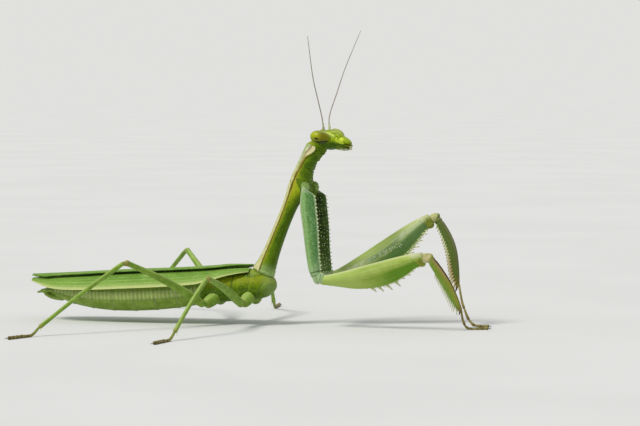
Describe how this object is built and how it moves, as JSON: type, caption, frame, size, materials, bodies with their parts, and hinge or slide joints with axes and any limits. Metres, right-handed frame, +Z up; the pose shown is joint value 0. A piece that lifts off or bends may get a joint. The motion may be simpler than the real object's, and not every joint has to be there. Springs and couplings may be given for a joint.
{
  "type": "praying mantis model",
  "caption": "Life-size still model of a slender green praying mantis, fore body raised, folded wings, spined fore legs reaching down to the ground.",
  "frame": {"origin": "on the floor under the middle of the whole insect's bounding box", "axes": "+X the way the body faces, +Y its left, +Z up"},
  "size_m": [0.074, 0.0672, 0.0457],
  "materials": {
    "head": "smooth satin cuticle",
    "eye": "glossy faceted shell",
    "mouth": "satin",
    "feeler": "matt",
    "body": "satin",
    "shield": "satin, fine grain",
    "belly": "satin",
    "wing": "leathery, veined",
    "coxa": "satin",
    "fore_leg": "satin",
    "walking_leg": "satin",
    "foot": "matt"
  },
  "bodies": {
    "root": {"head": "head", "eye_right": "eye", "eye_left": "eye", "mouthparts": "mouth", "antenna_right": "feeler", "antenna_left": "feeler", "neck": "body", "pronotum": "shield", "prothorax": "body", "mesothorax": "body", "metathorax": "body", "abdomen_base": "belly", "abdomen_middle": "belly", "abdomen_tip": "belly", "cercus_right": "belly", "cercus_left": "belly", "tegmen_right": "wing", "tegmen_left": "wing", "fore_coxa_right": "coxa", "fore_femur_right": "fore_leg", "fore_tibia_right": "fore_leg", "fore_tarsus_right": "foot", "fore_coxa_left": "coxa", "fore_femur_left": "fore_leg", "fore_tibia_left": "fore_leg", "fore_tarsus_left": "foot", "mid_coxa_right": "walking_leg", "mid_femur_right": "walking_leg", "mid_tibia_right": "walking_leg", "mid_tarsus_right": "foot", "mid_coxa_left": "walking_leg", "mid_femur_left": "walking_leg", "mid_tibia_left": "walking_leg", "mid_tarsus_left": "foot", "hind_coxa_right": "walking_leg", "hind_femur_right": "walking_leg", "hind_tibia_right": "walking_leg", "hind_tarsus_right": "foot", "hind_coxa_left": "walking_leg", "hind_femur_left": "walking_leg", "hind_tibia_left": "walking_leg", "hind_tarsus_left": "foot"}
  },
  "joints": []
}
